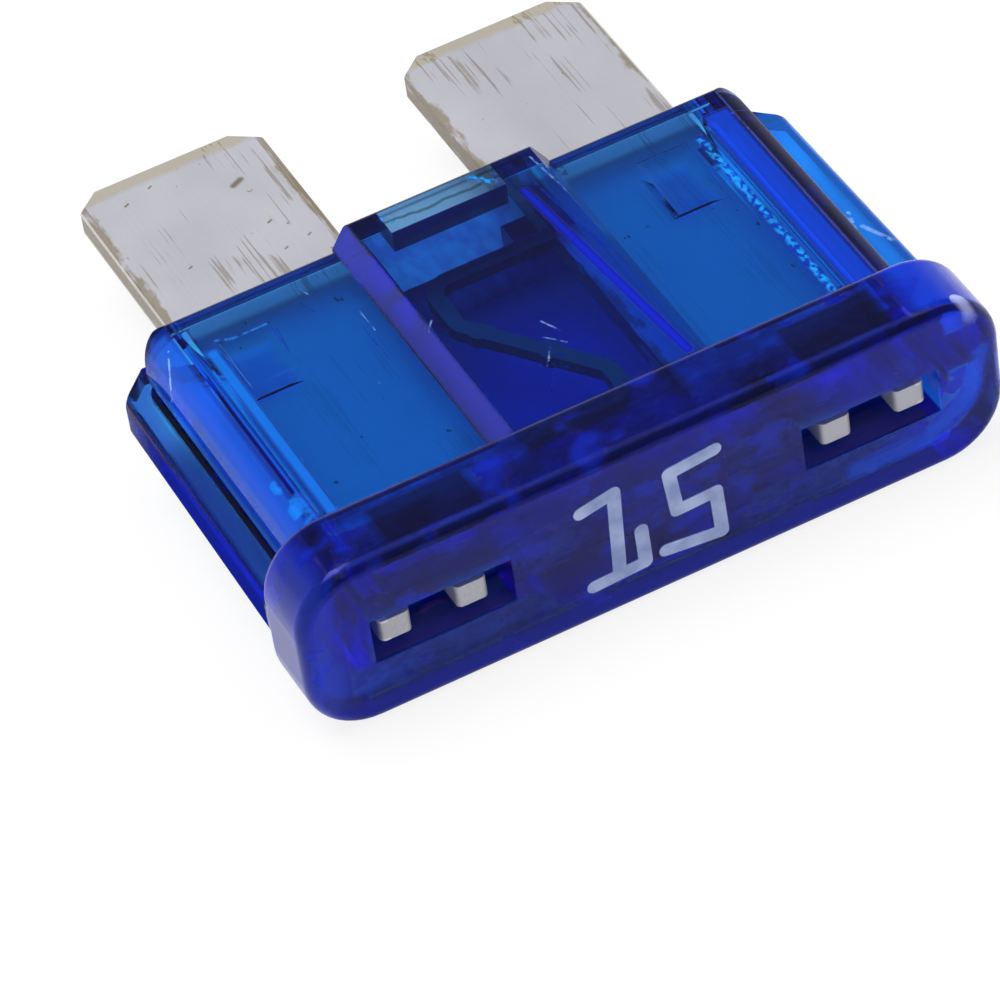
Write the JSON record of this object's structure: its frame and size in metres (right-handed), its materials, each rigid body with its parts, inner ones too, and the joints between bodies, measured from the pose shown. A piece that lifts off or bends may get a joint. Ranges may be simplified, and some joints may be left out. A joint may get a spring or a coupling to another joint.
{
  "type": "automotive blade fuse",
  "caption": "Blue translucent blade fuse: a moulded housing with two test windows round a stamped element with two blades and an S-shaped fuse link.",
  "frame": {"origin": "middle of the fuse's outline, on the plane of the head's back face, on which it lies", "axes": "+X from the left blade to the right blade, +Y from the head to the blade tips, +Z from the back face to the front face"},
  "size_m": [0.019, 0.0186, 0.0051],
  "materials": {
    "blue_plastic": "clear tinted moulding, glossy",
    "zinc_alloy": "rolled and stamped strip, satin with fine scratches"
  },
  "bodies": {
    "root": {"housing": "blue_plastic", "fuse_element": "zinc_alloy"}
  },
  "joints": []
}
